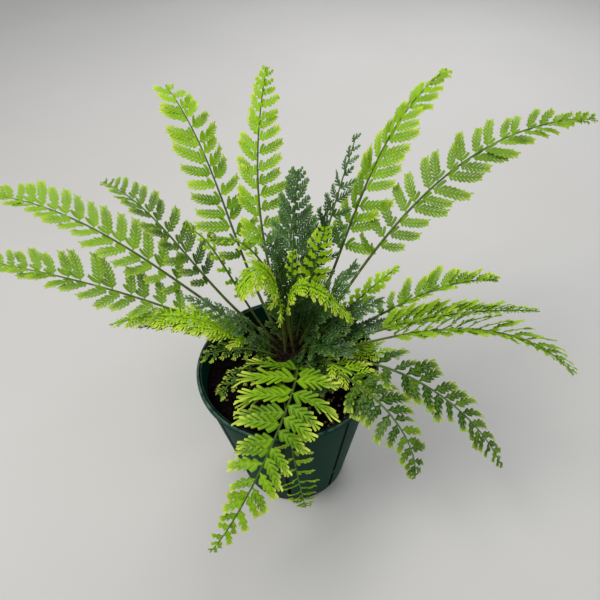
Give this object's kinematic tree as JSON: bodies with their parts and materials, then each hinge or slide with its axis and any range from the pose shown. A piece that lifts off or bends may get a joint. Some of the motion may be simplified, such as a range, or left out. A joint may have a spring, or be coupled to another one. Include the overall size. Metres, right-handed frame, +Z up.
{
  "type": "potted fern",
  "caption": "Potted fern: arching fronds of cut leaflets rising from a rootstock in soil, in a dark green tapered plastic nursery pot.",
  "frame": {"origin": "centre of the pot's floor, on the surface that the pot stands on", "axes": "+Z up along the pot's axis; -Y towards the side seen first in the picture, which has the large overhanging frond"},
  "size_m": [0.4882, 0.3062, 0.34],
  "materials": {
    "pot_plastic": "satin moulded plastic, dark green",
    "potting_mix": "moist dark potting mix with pale grains",
    "rootstock": "rough, scaly and brown",
    "leaf_bright": "young frond, yellow-green, soft sheen",
    "leaf_mid": "grown frond, mid green, soft sheen",
    "leaf_dark": "old frond, dark blue-green, matt"
  },
  "bodies": {
    "root": {"pot": "pot_plastic", "soil": "potting_mix", "crown": "rootstock", "frond_left_low": "leaf_mid", "frond_left_high": "leaf_mid", "frond_left_back": "leaf_mid", "frond_back_left": "leaf_bright", "frond_back": "leaf_bright", "frond_back_right": "leaf_bright", "frond_right_long": "leaf_mid", "frond_right_light": "leaf_bright", "frond_right_middle": "leaf_mid", "frond_right_arching": "leaf_mid", "frond_front_right_low": "leaf_mid", "frond_front_right": "leaf_mid", "frond_front_large": "leaf_bright", "frond_front_hanging": "leaf_bright", "frond_left_bright": "leaf_bright", "frond_young_left": "leaf_bright", "frond_young_back": "leaf_bright", "frond_centre_left": "leaf_bright", "frond_centre_right": "leaf_bright", "frond_light_upright": "leaf_bright", "frond_light_right": "leaf_bright", "frond_small_right": "leaf_bright", "frond_small_front_right": "leaf_bright", "frond_small_left": "leaf_mid", "frond_small_front_left": "leaf_mid", "frond_small_back": "leaf_bright", "frond_dark_back": "leaf_dark", "frond_dark_back_right": "leaf_dark", "frond_dark_far_right": "leaf_dark", "frond_dark_left_low": "leaf_dark", "frond_dark_left": "leaf_dark", "frond_dark_back_left": "leaf_dark", "frond_dark_upright": "leaf_dark", "frond_dark_right": "leaf_dark", "frond_dark_right_low": "leaf_dark", "frond_dark_front_right": "leaf_dark", "frond_dark_front": "leaf_dark"}
  },
  "joints": []
}
